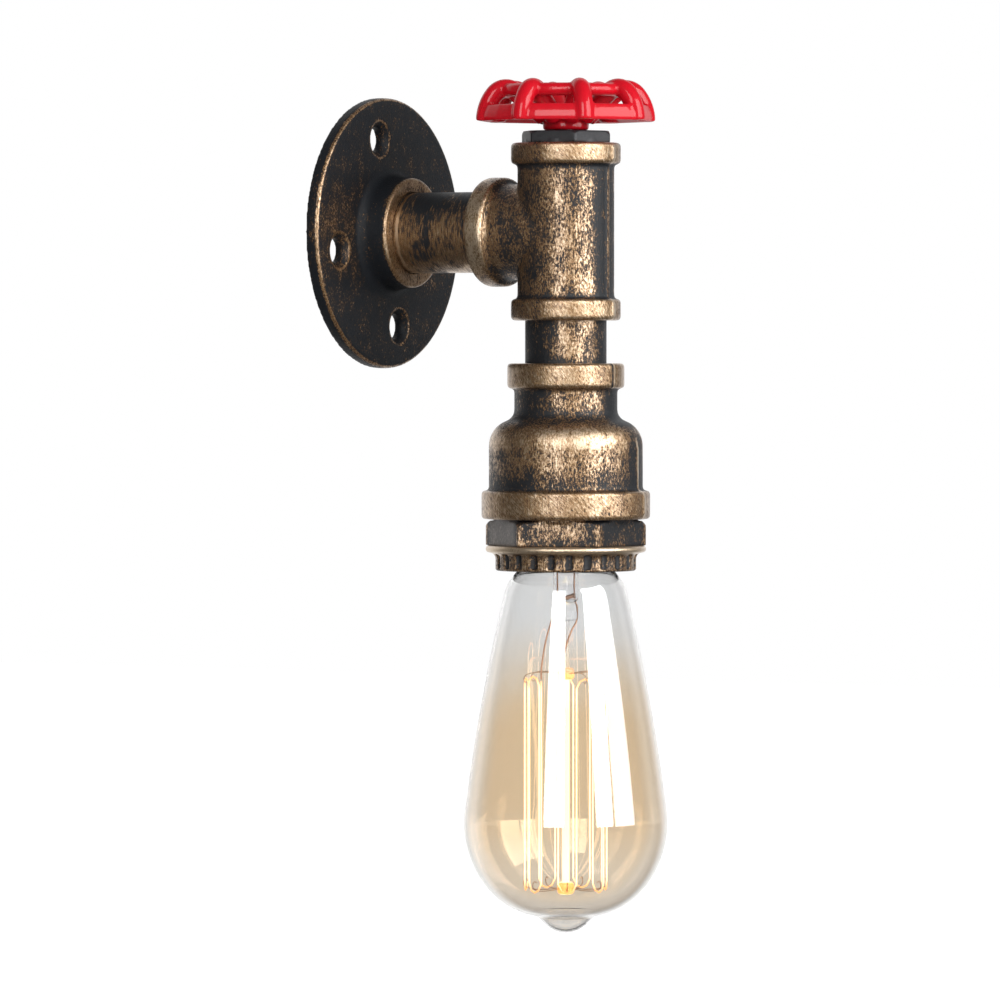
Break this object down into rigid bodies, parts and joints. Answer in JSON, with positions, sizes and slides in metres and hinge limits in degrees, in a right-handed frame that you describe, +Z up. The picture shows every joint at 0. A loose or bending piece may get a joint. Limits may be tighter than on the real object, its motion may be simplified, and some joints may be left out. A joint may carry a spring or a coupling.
{
  "type": "pipe wall light",
  "caption": "Wall light of pipe fittings: a round flange and short arm carry a tee with a red valve wheel on top as its switch and a teardrop filament bulb hanging below.",
  "frame": {"origin": "centre of the flange's back face, on the wall", "axes": "+Z up along the lamp, +Y into the wall so that the arm runs along -Y, +X to the right seen from the front"},
  "size_m": [0.086, 0.1016, 0.2682],
  "materials": {
    "flange_iron": "black with brushed bronze edges",
    "bronze_iron": "brushed bronze over black",
    "bronze_pipe": "brushed bronze over black",
    "dark_iron": "dark with brushed bronze edges",
    "plug_steel": "satin dark grey",
    "red_paint": "glossy red",
    "phenolic": "dark moulded plastic",
    "porcelain": "unglazed white",
    "brass": "plain",
    "steel": "plated",
    "cap_metal": "plain",
    "amber_glass": "clear at the neck, amber below",
    "clear_glass": "clear",
    "rod_glass": "amber",
    "hook_wire": "plain wire",
    "copper": "plain wire",
    "filament_glow": "glowing",
    "wire_brown": "insulation",
    "wire_black": "insulation",
    "wire_blue": "insulation",
    "wire_green": "insulation"
  },
  "bodies": {
    "wall_bracket": {"wall_flange": "flange_iron", "arm_nipple": "bronze_pipe"},
    "lamp_body": {"tee": "bronze_iron", "drop_nipple": "bronze_pipe", "reducer": "bronze_iron", "hex_bushing": "dark_iron", "shade_ring": "bronze_pipe", "holder_skirt": "phenolic", "holder_cap": "phenolic", "holder_core": "porcelain", "screw_shell": "brass", "centre_contact": "brass", "terminal_posts": "brass", "terminal_screws": "steel", "hex_plug": "plug_steel", "switch_bush": "steel", "switch_housing": "phenolic", "switch_contacts": "brass", "switch_nut": "steel", "earth_lug": "brass", "feed_wire": "wire_brown", "switched_wire": "wire_black", "neutral_wire": "wire_blue", "earth_wire": "wire_green"},
    "wheel": {"handwheel": "red_paint", "wheel_screw": "steel", "wheel_washer": "steel", "switch_shaft": "steel", "switch_rotor": "porcelain", "contact_bridge": "brass"},
    "bulb_carriage": {"bulb_contact": "steel"},
    "bulb": {"bulb_cap": "cap_metal", "cap_insulator": "phenolic", "bulb_glass": "amber_glass", "bulb_stem": "clear_glass", "glass_rod": "rod_glass", "filament_hooks": "hook_wire", "lead_wires": "copper", "filament": "filament_glow"}
  },
  "joints": [
    {"name": "tee_swivel", "type": "hinge", "parent": "wall_bracket", "child": "lamp_body", "pos_m": [0, -0.0695, 0], "axis": [0, 1, 0], "range_deg": [-90, 90]},
    {"name": "wheel_turn", "type": "hinge", "parent": "lamp_body", "child": "wheel", "pos_m": [0, -0.0695, 0.04], "axis": [0, 0, 1], "range_deg": [0, 90]},
    {"name": "bulb_travel", "type": "slide", "parent": "lamp_body", "child": "bulb_carriage", "axis": [0, 0, -1], "range_m": [0, 0.0328]},
    {"name": "bulb_turn", "type": "hinge", "parent": "bulb_carriage", "child": "bulb", "pos_m": [0, -0.0695, -0.16], "axis": [0, 0, -1], "range_deg": [0, 3240]}
  ],
  "couplings": [
    {"joint": "bulb_travel", "follows": "bulb_turn", "m_per_rad": 0.00057773}
  ]
}
